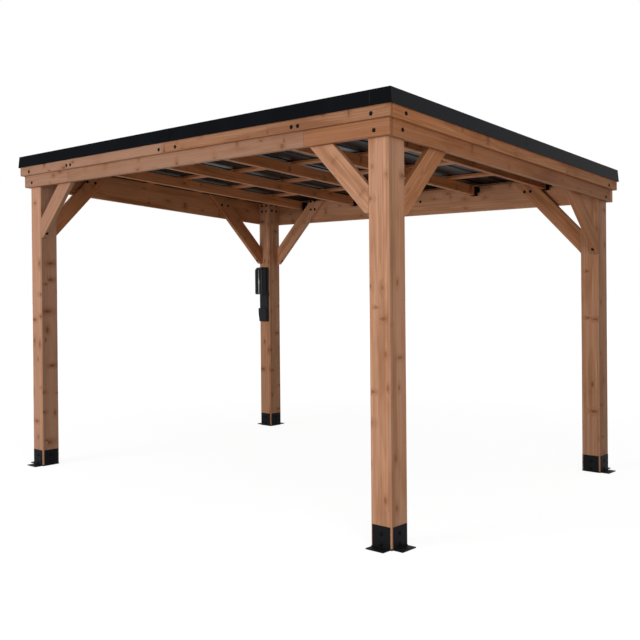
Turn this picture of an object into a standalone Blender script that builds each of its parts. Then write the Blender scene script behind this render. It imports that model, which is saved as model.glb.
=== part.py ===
"""Hardtop gazebo: four wooden posts, a sloping timber roof frame and a ribbed metal roof.

Units are metres and +Z is up. The origin is on the ground at the middle of the plan. The long side runs
along X. The front, at -Y, is the high side, and the roof falls towards the back, at +Y.
Every height of the roof frame is measured from the beams' underside, which lies on the roof's slope.
"""

import math

import bmesh
import bpy
from mathutils import Vector

# Overall plan, over the outer faces of the posts
SPAN_X = 3.564
SPAN_Y = 2.650

# Heights and slope
FRONT_HEADROOM = 2.185  # ground to the beams' underside, at the front face of the front posts
ROOF_FALL = 0.070  # metres down for each metre towards the back

# Fits
FIT_GAP = 0.0003

# Posts
POST_WIDTH = 0.140
POST_EDGE = 0.006
POST_TOP_BELOW_BEAM_TOP = 0.006

# Steel shoes under the posts
SHOE_THICKNESS = 0.004
SHOE_PLATE_WIDTH = 0.118
SHOE_HEIGHT = 0.122
SHOE_FLANGE_REACH = 0.058
SHOE_BASE_THICKNESS = 0.006
ANCHOR_HOLE_WIDTH = 0.014
ANCHOR_HOLE_FROM_WALL = 0.032

# Beams and the fascia boards lapped on them
BEAM_THICKNESS = 0.034
BEAM_DEPTH = 0.206
BOARD_EDGE = 0.003
EASED_ANGLE = math.radians(30)  # only corners sharper than this are eased
FASCIA_THICKNESS = 0.024
FASCIA_ABOVE_UNDERSIDE = 0.090

# Knee braces, all at 45 degrees
BRACE_THICKNESS = 0.038
BRACE_WIDTH = 0.123
BRACE_DROP = 0.629  # from the beams' top down to where the lower edge would meet the post
BRACE_FOOT_FLAT = 0.026
BRACE_TOP_CLEARANCE = 0.004  # from the top cut up to the beams' top

# Rafters and their hangers
RAFTER_COUNT = 5
RAFTER_THICKNESS = 0.038
RAFTER_DEPTH = 0.080
HANGER_THICKNESS = 0.002
HANGER_HEIGHT = 0.072
HANGER_SEAT_LENGTH = 0.050
HANGER_FLANGE_WIDTH = 0.024
HANGER_FLANGE_LIFT = 0.026
HANGER_TO_BRACE = 0.003  # between the outer hangers' cheeks and the braces' upper edges

# Purlins, laid flat across the rafters
PURLIN_COUNT = 4
PURLIN_SPACING = 0.545
PURLIN_WIDTH = 0.070
PURLIN_THICKNESS = 0.020
PURLIN_EDGE = 0.002
LAST_PURLIN_FROM_BACK = 0.389

# Ribbed roof sheets
PANEL_COUNT = 4
SHEET_THICKNESS = 0.001
RIBS_PER_PANEL = 4
RIB_HEIGHT = 0.012
RIB_FOOT_WIDTH = 0.040
RIB_TOP_WIDTH = 0.020

# Folded edge trim
TRIM_THICKNESS = 0.0015
TRIM_CLEARANCE = 0.003  # between the fascia and the trim's leg, at the top
TRIM_DEPTH = 0.086
TRIM_FLARE = 0.006
TRIM_LAP = 0.045
TRIM_JOINT_WIDTH = 0.088

# Power box on the inner front face of the back left post
BOX_WIDTH = 0.100
BOX_DEPTH = 0.027
BOX_TOP_BELOW_BRACE = 0.038  # from the brace's foot down to the box's top
BOX_OFF_CENTRE = 0.005
COVER_DEPTH = 0.094
COVER_HEIGHT = 0.268
COVER_CHAMFER = 0.024  # on the top front edge
SOCKET_PANEL_HEIGHT = 0.136
LOWER_HOUSING_HEIGHT = 0.132
LOWER_HOUSING_DEPTH = 0.048
HOUSING_FOOT_DEPTH = 0.036
HOUSING_STRAIGHT = 0.040  # from its top down to where it starts to taper
BOX_EDGE = 0.004
COVER_EDGE = 0.010

# Values that follow from the sizes above
HALF_X = SPAN_X / 2
HALF_Y = SPAN_Y / 2
POST_CENTRE_X = HALF_X - POST_WIDTH / 2
POST_CENTRE_Y = HALF_Y - POST_WIDTH / 2
FASCIA_FACE = BEAM_THICKNESS + FASCIA_THICKNESS
BRACE_LOWER_RISE = BEAM_DEPTH - BRACE_DROP
BRACE_UPPER_RISE = BRACE_LOWER_RISE + BRACE_WIDTH * math.sqrt(2)
BRACE_FOOT_RISE = BRACE_LOWER_RISE + BRACE_FOOT_FLAT
HANGER_HALF_WIDTH = RAFTER_THICKNESS / 2 + FIT_GAP + HANGER_THICKNESS
HANGER_BOTTOM_RISE = BEAM_DEPTH - RAFTER_DEPTH - FIT_GAP - HANGER_THICKNESS
HANGER_BOTTOM_AT_BRACE = HANGER_BOTTOM_RISE - ROOF_FALL * BRACE_THICKNESS
BRACE_X_AT_HANGER = HALF_X - POST_WIDTH - (HANGER_BOTTOM_AT_BRACE - BRACE_UPPER_RISE)
OUTER_RAFTER_X = BRACE_X_AT_HANGER + HANGER_TO_BRACE + HANGER_HALF_WIDTH
RAFTER_SPACING = 2 * OUTER_RAFTER_X / (RAFTER_COUNT - 1)
BOX_HEIGHT = COVER_HEIGHT + SOCKET_PANEL_HEIGHT + LOWER_HOUSING_HEIGHT
PURLIN_TOP = BEAM_DEPTH + PURLIN_THICKNESS
SHEET_TOP = PURLIN_TOP + SHEET_THICKNESS + RIB_HEIGHT
TRIM_FACE = FASCIA_FACE + TRIM_CLEARANCE + TRIM_THICKNESS
TRIM_TOP = SHEET_TOP + FIT_GAP + TRIM_THICKNESS
CORNERS = {
    "front_left": (-1, -1),
    "front_right": (1, -1),
    "back_left": (-1, 1),
    "back_right": (1, 1),
}


def clear_scene():
    for obj in list(bpy.data.objects):
        bpy.data.objects.remove(obj, do_unlink=True)


def make_material(name, colour, roughness, metallic=0.0):
    material = bpy.data.materials.new(name)
    material.use_nodes = True
    shader = material.node_tree.nodes["Principled BSDF"]
    shader.inputs["Base Color"].default_value = (*colour, 1.0)
    shader.inputs["Roughness"].default_value = roughness
    shader.inputs["Metallic"].default_value = metallic
    material.diffuse_color = (*colour, 1.0)
    return material


def slope_height(y, above=0.0):
    """World height of a point that lies above the sloping plane of the beams' undersides, at y."""
    return FRONT_HEADROOM - ROOF_FALL * (y + HALF_Y) + above


def add_object(name, mesh, material, location, parent=None):
    obj = bpy.data.objects.new(name, mesh)
    bpy.context.scene.collection.objects.link(obj)
    obj.location = location
    obj.parent = parent
    mesh.materials.append(material)
    return obj


def ease_edges(obj, width, segments=1):
    bevel = obj.modifiers.new("Eased edges", "BEVEL")
    bevel.width = width
    bevel.segments = segments
    bevel.limit_method = "ANGLE"
    bevel.angle_limit = EASED_ANGLE
    return bevel


def mesh_from(name, build):
    """A mesh filled by build(bm), with its faces pointing out."""
    bm = bmesh.new()
    build(bm)
    bmesh.ops.recalc_face_normals(bm, faces=bm.faces)
    mesh = bpy.data.meshes.new(name)
    bm.to_mesh(mesh)
    bm.free()
    return mesh


def add_sheet(name, build, outward, thickness, material, location):
    """A folded sheet of metal, drawn as one open surface and thickened to one side of it.

    build(bm) returns a face of the surface whose normal is turned to point along outward, which is the
    side that the thickness is added to.
    """
    bm = bmesh.new()
    guide = build(bm)
    bmesh.ops.recalc_face_normals(bm, faces=bm.faces)
    guide.normal_update()
    if guide.normal.dot(Vector(outward)) < 0:
        bmesh.ops.reverse_faces(bm, faces=bm.faces)
    mesh = bpy.data.meshes.new(name)
    bm.to_mesh(mesh)
    bm.free()
    sheet = add_object(name, mesh, material, location)
    solidify = sheet.modifiers.new("Sheet thickness", "SOLIDIFY")
    solidify.thickness = thickness
    solidify.offset = 1.0
    solidify.use_even_offset = True
    return sheet


def extrude_outline(bm, outline, direction):
    """A solid swept from a flat closed outline of points along one direction."""
    face = bm.faces.new([bm.verts.new(point) for point in outline])
    swept = bmesh.ops.extrude_face_region(bm, geom=[face])
    moved = [item for item in swept["geom"] if isinstance(item, bmesh.types.BMVert)]
    bmesh.ops.translate(bm, verts=moved, vec=direction)


def roof_board(name, x_range, y_range, rise_range, material, edge=BOARD_EDGE):
    """A board of the roof frame, whose top and bottom follow the slope.

    Its ranges are in world x and y and in height above the beams' underside. Its origin is the middle
    of its underside.
    """
    middle_x = sum(x_range) / 2
    middle_y = sum(y_range) / 2
    depth = rise_range[1] - rise_range[0]
    half_width = (y_range[1] - y_range[0]) / 2
    length = x_range[1] - x_range[0]
    outline = [
        (-length / 2, side * half_width, -ROOF_FALL * side * half_width + rise)
        for side, rise in ((-1, 0.0), (1, 0.0), (1, depth), (-1, depth))
    ]
    mesh = mesh_from(name, lambda bm: extrude_outline(bm, outline, (length, 0, 0)))
    place = (middle_x, middle_y, slope_height(middle_y, rise_range[0]))
    board = add_object(name, mesh, material, place)
    ease_edges(board, edge)
    return board


def make_post(name, side_x, side_y, material):
    """A square post on its shoe, cut at the top to the slope of the roof."""
    half = POST_WIDTH / 2
    centre_y = side_y * POST_CENTRE_Y
    bottom = SHOE_BASE_THICKNESS + FIT_GAP
    top = slope_height(centre_y, BEAM_DEPTH - POST_TOP_BELOW_BEAM_TOP) - bottom

    def build(bm):
        low = [(x, y, 0.0) for x, y in ((-half, -half), (half, -half), (half, half), (-half, half))]
        extrude_outline(bm, low, (0, 0, top))
        for vert in bm.verts:
            if vert.co.z > top / 2:
                vert.co.z -= ROOF_FALL * vert.co.y

    post = add_object(name, mesh_from(name, build), material, (side_x * POST_CENTRE_X, centre_y, bottom))
    ease_edges(post, POST_EDGE, segments=2)
    return post


def make_shoe(name, side_x, side_y, material):
    """A steel shoe: a base plate with a wall on each side of the post and two outward anchor flanges."""
    plate = SHOE_PLATE_WIDTH / 2
    inner = POST_WIDTH / 2 + FIT_GAP
    outer = inner + SHOE_THICKNESS
    flange = outer + SHOE_FLANGE_REACH
    hole = ANCHOR_HOLE_WIDTH / 2
    hole_middle = outer + ANCHOR_HOLE_FROM_WALL
    cuts = sorted({-outer, -inner, -plate, -hole, hole, plate, inner, outer, hole_middle - hole,
                   hole_middle + hole, flange})

    def is_metal(x, y):
        across_x = abs(x) < plate
        across_y = abs(y) < plate
        over_post = abs(x) < inner and abs(y) < inner
        arm_x = across_y and -outer < x < flange
        arm_y = across_x and -outer < y < flange
        hole_x = abs(x - hole_middle) < hole and abs(y) < hole
        hole_y = abs(y - hole_middle) < hole and abs(x) < hole
        return (over_post or arm_x or arm_y) and not (hole_x or hole_y)

    def is_wall(x, y):
        wall_x = inner < abs(x) < outer and abs(y) < plate
        wall_y = inner < abs(y) < outer and abs(x) < plate
        return wall_x or wall_y

    def build(bm):
        points = {}

        def corner(x, y):
            key = (x, y)
            if key not in points:
                points[key] = bm.verts.new((side_x * x, side_y * y, SHOE_BASE_THICKNESS))
            return points[key]

        walls = []
        for left, right in zip(cuts, cuts[1:]):
            for near, far in zip(cuts, cuts[1:]):
                x, y = (left + right) / 2, (near + far) / 2
                if not is_metal(x, y):
                    continue
                face = bm.faces.new([corner(left, near), corner(right, near),
                                     corner(right, far), corner(left, far)])
                if is_wall(x, y):
                    walls.append(face)
        top_faces = list(bm.faces)
        swept = bmesh.ops.extrude_face_region(bm, geom=top_faces, use_keep_orig=True)
        lowered = [item for item in swept["geom"] if isinstance(item, bmesh.types.BMVert)]
        bmesh.ops.translate(bm, verts=lowered, vec=(0, 0, -SHOE_BASE_THICKNESS))
        raised = bmesh.ops.extrude_face_region(bm, geom=walls)
        lifted = [item for item in raised["geom"] if isinstance(item, bmesh.types.BMVert)]
        bmesh.ops.translate(bm, verts=lifted, vec=(0, 0, SHOE_HEIGHT - SHOE_BASE_THICKNESS))
        bmesh.ops.delete(bm, geom=[face for face in walls if face.is_valid], context="FACES_ONLY")
        bmesh.ops.dissolve_limit(bm, angle_limit=0.001, verts=bm.verts, edges=bm.edges)

    place = (side_x * POST_CENTRE_X, side_y * POST_CENTRE_Y, 0.0)
    return add_object(name, mesh_from(name, build), material, place)


def make_beams_and_fascias(material):
    """The front and back boards run through, and the side boards fit between them."""
    for name, side in (("front", -1), ("back", 1)):
        near, far = HALF_Y + FIT_GAP, HALF_Y + BEAM_THICKNESS
        y_range = sorted((side * near, side * far))
        x_end = HALF_X + BEAM_THICKNESS
        roof_board(f"{name}_beam", (-x_end, x_end), y_range, (0.0, BEAM_DEPTH), material)
        near, far = HALF_Y + BEAM_THICKNESS + FIT_GAP, HALF_Y + FASCIA_FACE
        y_range = sorted((side * near, side * far))
        x_end = HALF_X + FASCIA_FACE
        rises = (FASCIA_ABOVE_UNDERSIDE, PURLIN_TOP - FIT_GAP)
        roof_board(f"{name}_fascia", (-x_end, x_end), y_range, rises, material)
    for name, side in (("left", -1), ("right", 1)):
        near, far = HALF_X + FIT_GAP, HALF_X + BEAM_THICKNESS
        x_range = sorted((side * near, side * far))
        y_end = HALF_Y
        roof_board(f"{name}_beam", x_range, (-y_end, y_end), (0.0, BEAM_DEPTH), material)
        near, far = HALF_X + BEAM_THICKNESS + FIT_GAP, HALF_X + FASCIA_FACE
        x_range = sorted((side * near, side * far))
        y_end = HALF_Y + BEAM_THICKNESS
        rises = (FASCIA_ABOVE_UNDERSIDE, PURLIN_TOP - FIT_GAP)
        roof_board(f"{name}_fascia", x_range, (-y_end, y_end), rises, material)


def brace_outline(beam_slope):
    """Outline of a knee brace, as distance from the post and height above the beam's underside there.

    beam_slope is how far the beam rises for each metre away from the post.
    """
    top = BEAM_DEPTH - BRACE_TOP_CLEARANCE
    top_low = (top - BRACE_LOWER_RISE) / (1 - beam_slope)
    top_high = (top - BRACE_UPPER_RISE) / (1 - beam_slope)
    return [
        (FIT_GAP, BRACE_FOOT_RISE),
        (BRACE_FOOT_FLAT, BRACE_FOOT_RISE),
        (top_low, top_low + BRACE_LOWER_RISE),
        (top_high, top_high + BRACE_UPPER_RISE),
        (FIT_GAP, BRACE_UPPER_RISE + FIT_GAP),
    ]


def make_brace(name, corner, along, material):
    """A knee brace between a post and the beam that runs along X or along Y, inside the beam's face."""
    side_x, side_y = corner
    if along == "x":
        post_face = HALF_X - POST_WIDTH
        outline = [(side_x * (post_face - out), 0.0, rise) for out, rise in brace_outline(0.0)]
        shift = Vector((0, -side_y * BRACE_THICKNESS, 0))
        place = Vector((0, side_y * HALF_Y, slope_height(side_y * HALF_Y)))
    else:
        post_face = HALF_Y - POST_WIDTH
        outline = [(0.0, side_y * (post_face - out), rise) for out, rise in brace_outline(side_y * ROOF_FALL)]
        shift = Vector((-side_x * BRACE_THICKNESS, 0, 0))
        place = Vector((side_x * HALF_X, 0, slope_height(side_y * post_face)))
    origin = Vector(outline[0])
    local = [Vector(point) - origin for point in outline]
    mesh = mesh_from(name, lambda bm: extrude_outline(bm, local, shift))
    brace = add_object(name, mesh, material, place + origin)
    ease_edges(brace, BOARD_EDGE)
    return brace


def rafter_places():
    """X of the middle of each rafter, from left to right."""
    return [(index - (RAFTER_COUNT - 1) / 2) * RAFTER_SPACING for index in range(RAFTER_COUNT)]


def make_rafters(material):
    for index, x in enumerate(rafter_places()):
        x_range = (x - RAFTER_THICKNESS / 2, x + RAFTER_THICKNESS / 2)
        rises = (BEAM_DEPTH - RAFTER_DEPTH, BEAM_DEPTH)
        roof_board(f"rafter_{index + 1}", x_range, (-HALF_Y, HALF_Y), rises, material)


def make_hanger(name, x, side, material):
    """A folded joist hanger: a seat and two cheeks round the rafter, with two flanges on the beam.

    side is -1 on the front beam and 1 on the back beam. The steel is folded from one sheet, and its
    inner faces are laid out here and thickened outwards.
    """
    half = RAFTER_THICKNESS / 2 + FIT_GAP
    flange = half + HANGER_FLANGE_WIDTH
    lift = HANGER_FLANGE_LIFT
    face = HANGER_THICKNESS + FIT_GAP

    def build(bm):
        def point(x_local, out, rise):
            return bm.verts.new((x_local, -side * out, rise + side * ROOF_FALL * out))

        back = {(s, r): point(s * half, face, r) for s in (-1, 1) for r in (0.0, lift, HANGER_HEIGHT)}
        front = {(s, r): point(s * half, HANGER_SEAT_LENGTH, r) for s in (-1, 1)
                 for r in (0.0, lift, HANGER_HEIGHT)}
        seat = bm.faces.new((back[-1, 0.0], back[1, 0.0], front[1, 0.0], front[-1, 0.0]))
        for s in (-1, 1):
            for low, high in ((0.0, lift), (lift, HANGER_HEIGHT)):
                bm.faces.new((back[s, low], front[s, low], front[s, high], back[s, high]))
            edge_low = point(s * flange, face, lift)
            edge_high = point(s * flange, face, HANGER_HEIGHT)
            bm.faces.new((back[s, lift], edge_low, edge_high, back[s, HANGER_HEIGHT]))
        return seat

    y = side * HALF_Y
    place = (x, y, slope_height(y, BEAM_DEPTH - RAFTER_DEPTH - FIT_GAP))
    return add_sheet(name, build, (0, 0, -1), HANGER_THICKNESS, material, place)


def make_purlins(material):
    x_end = HALF_X + BEAM_THICKNESS
    for index in range(PURLIN_COUNT):
        y = HALF_Y - LAST_PURLIN_FROM_BACK - (PURLIN_COUNT - 1 - index) * PURLIN_SPACING
        y_range = (y - PURLIN_WIDTH / 2, y + PURLIN_WIDTH / 2)
        rises = (BEAM_DEPTH + FIT_GAP, PURLIN_TOP)
        roof_board(f"purlin_{index + 1}", (-x_end, x_end), y_range, rises, material, PURLIN_EDGE)


def panel_profile(width, first, last):
    """Underside of one roof sheet across its ribs, as x from its left edge and height above the pan.

    The first sheet starts flat. Each later one starts in a rib that laps the upturned edge before it.
    """
    foot, crown = RIB_FOOT_WIDTH / 2, RIB_TOP_WIDTH / 2
    lap = SHEET_THICKNESS + FIT_GAP
    pitch = width / RIBS_PER_PANEL
    points = [(0.0, 0.0)] if first else [(-crown, RIB_HEIGHT), (crown, RIB_HEIGHT), (foot, 0.0)]
    for index in range(1, RIBS_PER_PANEL):
        middle = index * pitch
        points += [(middle - foot, 0.0), (middle - crown, RIB_HEIGHT),
                   (middle + crown, RIB_HEIGHT), (middle + foot, 0.0)]
    if last:
        points.append((width, 0.0))
    else:
        points += [(width - foot - lap, 0.0), (width - crown - lap, RIB_HEIGHT - lap)]
    return points


def make_roof_panels(material):
    x_end = HALF_X + FASCIA_FACE
    y_end = HALF_Y + FASCIA_FACE
    width = 2 * x_end / PANEL_COUNT
    for index in range(PANEL_COUNT):
        profile = panel_profile(width, index == 0, index == PANEL_COUNT - 1)

        def build(bm):
            rows = [[bm.verts.new((x, y, rise - ROOF_FALL * y)) for x, rise in profile]
                    for y in (-y_end, y_end)]
            for (a, b), (c, d) in zip(zip(rows[0], rows[0][1:]), zip(rows[1], rows[1][1:])):
                pan = bm.faces.new((a, b, d, c))
            return pan

        place = (-x_end + index * width, 0.0, slope_height(0.0, PURLIN_TOP + FIT_GAP))
        add_sheet(f"roof_panel_{index + 1}", build, (0, 0, 1), SHEET_THICKNESS - FIT_GAP, material, place)


def trim_profile(extra=0.0, top=True):
    """Section of the edge trim, as distance out from the post's face and height above the underside.

    extra moves it outwards, for a cover that lies on the trim.
    """
    face = TRIM_FACE + extra
    low = TRIM_TOP - TRIM_DEPTH
    inside = face - TRIM_THICKNESS
    points = [
        (face, TRIM_TOP),
        (face + TRIM_FLARE, low),
        (inside + TRIM_FLARE, low),
        (inside, TRIM_TOP - TRIM_THICKNESS),
    ]
    if top:
        lap_end = face - TRIM_LAP
        points += [(lap_end, TRIM_TOP - TRIM_THICKNESS), (lap_end, TRIM_TOP)]
    return points


def make_trims(material):
    """Front and back trims run through at the corners, and the side trims stop inside their legs."""
    outer_x, outer_y = HALF_X + TRIM_FACE, HALF_Y + TRIM_FACE
    wall = TRIM_THICKNESS + FIT_GAP
    for name, side in (("front", -1), ("back", 1)):

        def across(out, rise, run):
            return (run, side * out, rise - ROOF_FALL * side * out)

        mesh = mesh_from(name, lambda bm: build_trim(bm, across, outer_x - wall, outer_x))
        y_face = side * HALF_Y
        add_object(f"{name}_trim", mesh, material, (0, y_face, slope_height(y_face)))
    for name, side in (("left", -1), ("right", 1)):

        def along(out, rise, run):
            return (side * out, run, rise - ROOF_FALL * run)

        lap_stop = outer_y - TRIM_LAP - FIT_GAP
        mesh = mesh_from(name, lambda bm: build_trim(bm, along, lap_stop, outer_y - wall))
        add_object(f"{name}_trim", mesh, material, (side * HALF_X, 0, slope_height(0.0)))


def build_trim(bm, place, lap_stop, leg_stop):
    """An edge trim whose lap ends at lap_stop and whose leg runs on to leg_stop, at both ends.

    place(out, rise, run) gives a point from its distance out, its height and its place along the trim.
    """
    def end_faces(run):
        points = [bm.verts.new(place(out, rise, run)) for out, rise in trim_profile()]
        return bm.faces.new(points[:4]), bm.faces.new((points[0], points[3], points[4], points[5]))

    def extend(faces, run):
        """Sweeps faces along the trim and gives the faces at the new end."""
        swept = bmesh.ops.extrude_face_region(bm, geom=faces)
        moved = [item for item in swept["geom"] if isinstance(item, bmesh.types.BMVert)]
        shift = Vector(place(0, 0, run)) - Vector(place(0, 0, 0))
        bmesh.ops.translate(bm, verts=moved, vec=shift)
        return [item for item in swept["geom"] if isinstance(item, bmesh.types.BMFace)]

    leg, lap = end_faces(-lap_stop)
    far_faces = extend([leg, lap], 2 * lap_stop)
    middle = Vector(place(TRIM_FACE, TRIM_TOP - TRIM_DEPTH / 2, lap_stop))
    far_leg = min(far_faces, key=lambda face: (face.calc_center_median() - middle).length)
    for face, run in ((leg, lap_stop - leg_stop), (far_leg, leg_stop - lap_stop)):
        extend([face], run)
        if face.is_valid:
            bmesh.ops.delete(bm, geom=[face], context="FACES_ONLY")


def make_trim_joints(material):
    """A short cover plate over the middle joint of the front and of the back trim."""
    for name, side in (("front", -1), ("back", 1)):
        y_face = side * HALF_Y
        extra = TRIM_THICKNESS + FIT_GAP
        half = TRIM_JOINT_WIDTH / 2
        outline = [(-half, side * out, rise - ROOF_FALL * side * out)
                   for out, rise in trim_profile(extra, top=False)]
        mesh = mesh_from(name, lambda bm: extrude_outline(bm, outline, (2 * half, 0, 0)))
        add_object(f"{name}_trim_joint", mesh, material, (0, y_face, slope_height(y_face)))


def box_part(name, profile, edge, material, location, parent):
    """A moulded part as wide as the power box. profile is its side view, as distance out and distance down."""
    half = BOX_WIDTH / 2

    def build(bm):
        outline = [(-half, -out, -down) for out, down in profile]
        extrude_outline(bm, outline, (BOX_WIDTH, 0, 0))

    part = add_object(name, mesh_from(name, build), material, location, parent)
    ease_edges(part, edge, segments=2)
    return part


def make_power_box(material):
    """The power box on the back left post: a back box, a deep weather cover and a lower housing."""
    holder = bpy.data.objects.new("power_box_place", None)
    bpy.context.scene.collection.objects.link(holder)
    face_y = HALF_Y - POST_WIDTH
    top = slope_height(face_y, BRACE_FOOT_RISE - BOX_TOP_BELOW_BRACE)
    holder.location = (-POST_CENTRE_X + BOX_OFF_CENTRE, face_y - FIT_GAP, top)

    body = [(0.0, 0.0), (BOX_DEPTH, 0.0), (BOX_DEPTH, BOX_HEIGHT), (0.0, BOX_HEIGHT)]
    box_part("power_box_body", body, BOX_EDGE, material, (0, 0, 0), holder)

    front = -BOX_DEPTH - FIT_GAP
    reach = COVER_DEPTH - BOX_DEPTH
    cover = [
        (0.0, 0.0),
        (reach - COVER_CHAMFER, 0.0),
        (reach, COVER_CHAMFER),
        (reach, COVER_HEIGHT),
        (0.0, COVER_HEIGHT),
    ]
    box_part("power_box_cover", cover, COVER_EDGE, material, (0, front, 0), holder)

    below = COVER_HEIGHT + SOCKET_PANEL_HEIGHT
    reach = LOWER_HOUSING_DEPTH - BOX_DEPTH
    foot = HOUSING_FOOT_DEPTH - BOX_DEPTH
    housing = [
        (0.0, 0.0),
        (reach, 0.0),
        (reach, HOUSING_STRAIGHT),
        (foot, LOWER_HOUSING_HEIGHT),
        (0.0, LOWER_HOUSING_HEIGHT),
    ]
    box_part("power_box_lower_housing", housing, BOX_EDGE, material, (0, front, -below), holder)


def main():
    clear_scene()
    cedar = make_material("cedar", (0.40, 0.19, 0.09), 0.65)
    black_steel = make_material("black_steel", (0.012, 0.013, 0.015), 0.45)
    roof_metal = make_material("roof_metal", (0.05, 0.055, 0.06), 0.4, metallic=0.6)
    trim_metal = make_material("trim_metal", (0.02, 0.021, 0.023), 0.5)
    black_plastic = make_material("black_plastic", (0.015, 0.015, 0.016), 0.35)

    for name, (side_x, side_y) in CORNERS.items():
        make_post(f"{name}_post", side_x, side_y, cedar)
        make_shoe(f"{name}_shoe", side_x, side_y, black_steel)
        make_brace(f"{name}_brace_along_x", (side_x, side_y), "x", cedar)
        make_brace(f"{name}_brace_along_y", (side_x, side_y), "y", cedar)
    make_beams_and_fascias(cedar)
    make_rafters(cedar)
    for index, x in enumerate(rafter_places()):
        make_hanger(f"front_hanger_{index + 1}", x, -1, black_steel)
        make_hanger(f"back_hanger_{index + 1}", x, 1, black_steel)
    make_purlins(cedar)
    make_roof_panels(roof_metal)
    make_trims(trim_metal)
    make_trim_joints(trim_metal)
    make_power_box(black_plastic)


main()
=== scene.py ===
"""Looks for the hardtop gazebo: stained wood, coated metal, bolts, joints, floor, light and camera.

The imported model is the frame, in metres. The front is at -Y, which is the high side of the roof.
Heights of the roof frame are a rise above the beams' underside, which lies on the roof's slope.
"""

import math
import random
from functools import partial

import bmesh
import bpy
from mathutils import Matrix, Vector


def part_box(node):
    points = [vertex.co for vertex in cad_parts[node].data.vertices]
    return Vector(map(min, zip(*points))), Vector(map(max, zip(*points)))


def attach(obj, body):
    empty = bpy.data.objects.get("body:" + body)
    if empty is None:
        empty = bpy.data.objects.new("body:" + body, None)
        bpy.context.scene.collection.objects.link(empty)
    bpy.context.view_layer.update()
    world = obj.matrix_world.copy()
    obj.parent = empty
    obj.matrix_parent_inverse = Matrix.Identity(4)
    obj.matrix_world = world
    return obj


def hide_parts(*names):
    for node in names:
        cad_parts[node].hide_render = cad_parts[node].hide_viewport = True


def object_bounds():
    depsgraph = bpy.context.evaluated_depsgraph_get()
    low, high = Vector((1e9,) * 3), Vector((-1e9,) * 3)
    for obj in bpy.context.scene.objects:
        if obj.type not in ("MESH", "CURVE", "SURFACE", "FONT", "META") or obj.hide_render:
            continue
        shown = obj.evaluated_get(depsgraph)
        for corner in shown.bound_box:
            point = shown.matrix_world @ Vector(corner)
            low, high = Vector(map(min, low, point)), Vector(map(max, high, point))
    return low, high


bl_info = {
    "name": "Hardtop gazebo looks",
    "version": (1, 0, 0),
    "blender": (4, 5, 0),
    "location": "3D View > Sidebar > Gazebo",
    "description": "Materials, fasteners, board joints and a studio for a timber gazebo",
    "category": "Object",
}

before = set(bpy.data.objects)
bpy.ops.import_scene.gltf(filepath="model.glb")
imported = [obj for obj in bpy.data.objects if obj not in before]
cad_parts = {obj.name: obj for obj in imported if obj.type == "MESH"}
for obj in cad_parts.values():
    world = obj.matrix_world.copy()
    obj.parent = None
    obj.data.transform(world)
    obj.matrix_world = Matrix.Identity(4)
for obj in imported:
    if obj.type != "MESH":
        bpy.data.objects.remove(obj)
CAD_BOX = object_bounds()

FRONT_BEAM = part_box("front_beam")
BACK_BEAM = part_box("back_beam")
RIGHT_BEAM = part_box("right_beam")
FRONT_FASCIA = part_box("front_fascia")
RIGHT_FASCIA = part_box("right_fascia")
NEAR_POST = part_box("front_right_post")
POST_WIDTH = NEAR_POST[1].x - NEAR_POST[0].x
POST_MIDDLE = (NEAR_POST[0] + NEAR_POST[1]) / 2
ROOF_FALL = (FRONT_BEAM[0].z - BACK_BEAM[0].z) / (BACK_BEAM[1].y - FRONT_BEAM[1].y)

CORNERS = {"front_left": (-1, -1), "front_right": (1, -1),
           "back_left": (-1, 1), "back_right": (1, 1)}

# How far a detail stands off the face that it lies on
FACE_GAP = 0.0003

# Joints between the lengths of one board, and the gap that shows there
FASCIA_JOINT_X = -0.016
BEAM_JOINT_X = 1.204
BOARD_GAP = 0.0016

# Bolt places, in metres from the middle of the plan, and as rises above the beams' underside
CORNER_BOLT_X = 1.711
CORNER_BOLT_Y = 1.246
SIDE_BOLT_LIFTS = {-1: 0.011, 1: -0.006}  # of the bolts near the front and near the back
BRACE_BOLTS_X = (1.131, 1.181)
JOINT_BOLTS_X = (-0.081, 0.089)
FASCIA_BOLT_RISE = 0.115
BEAM_BOLT_RISE = 0.032
BRACE_BOLT_RISES = (0.119, 0.197)
BRACE_BOLTS_FROM_POST = (0.468, 0.519)
BRACE_ALONG_Y_BOLTS = {-1: (0.356, 0.432), 1: (0.452, 0.528)}  # from the front and back posts
BRACE_ALONG_Y_BOLT_RISE = 0.120
POST_BOLT_RISES_FACING_Y = (0.121, 0.176)
POST_BOLT_RISES_FACING_X = (0.130, 0.188)
POST_BOLT_HALF_SPACING = 0.030
FOOT_BOLT_FROM_POST = 0.058
FOOT_BOLT_DROP = 0.367
SHOE_BOLT_HEIGHTS = (0.024, 0.080)
SHOE_WALL_FACE = 0.0043  # from the post's face to the outside of the shoe's wall

# Joints between the lengths of the trim, and the gap that shows there
FRONT_SEAM_X = 1.711
SIDE_SEAM_Y = 0.022
SEAM_GAP = 0.0012
TRIM_DEPTH = 0.086
TRIM_FLARE = 0.006

# Folded ends beside the trim's joints, drawn pale as a painted highlight: their width, and as
# shares of the depth of the trim's leg, where they start and how far they run
FOLD_WIDTH = 0.004
FOLD_START = 0.03
FOLD_RUN = 0.82

# Edge of each roof sheet that laps the one before it: places across from the rib's side and rises
# above the rib's top, and how far it runs before the trim covers it
LAP_PROFILE = ((0.003, 0.0003), (-0.0022, 0.0003), (-0.0077, -0.0069), (-0.0084, -0.0063),
               (-0.0028, 0.0011), (0.003, 0.0011))
LAP_END_Y = 1.343

# Pale steel pin and bead on the power box's cover: their places across it and widths, how far below
# its top they start, and the sides of their half circle. The pin's pale, even steel is partly a
# painted highlight, the light down the cover's rounded front.
PIN_AND_PAINTED_HIGHLIGHT_X = -1.699
COVER_BEAD_X = -1.690
PIN_AND_PAINTED_HIGHLIGHT_WIDTH = 0.008
BEAD_WIDTH = 0.006
PIN_START = 0.026
ROD_SIDES = 8


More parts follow.
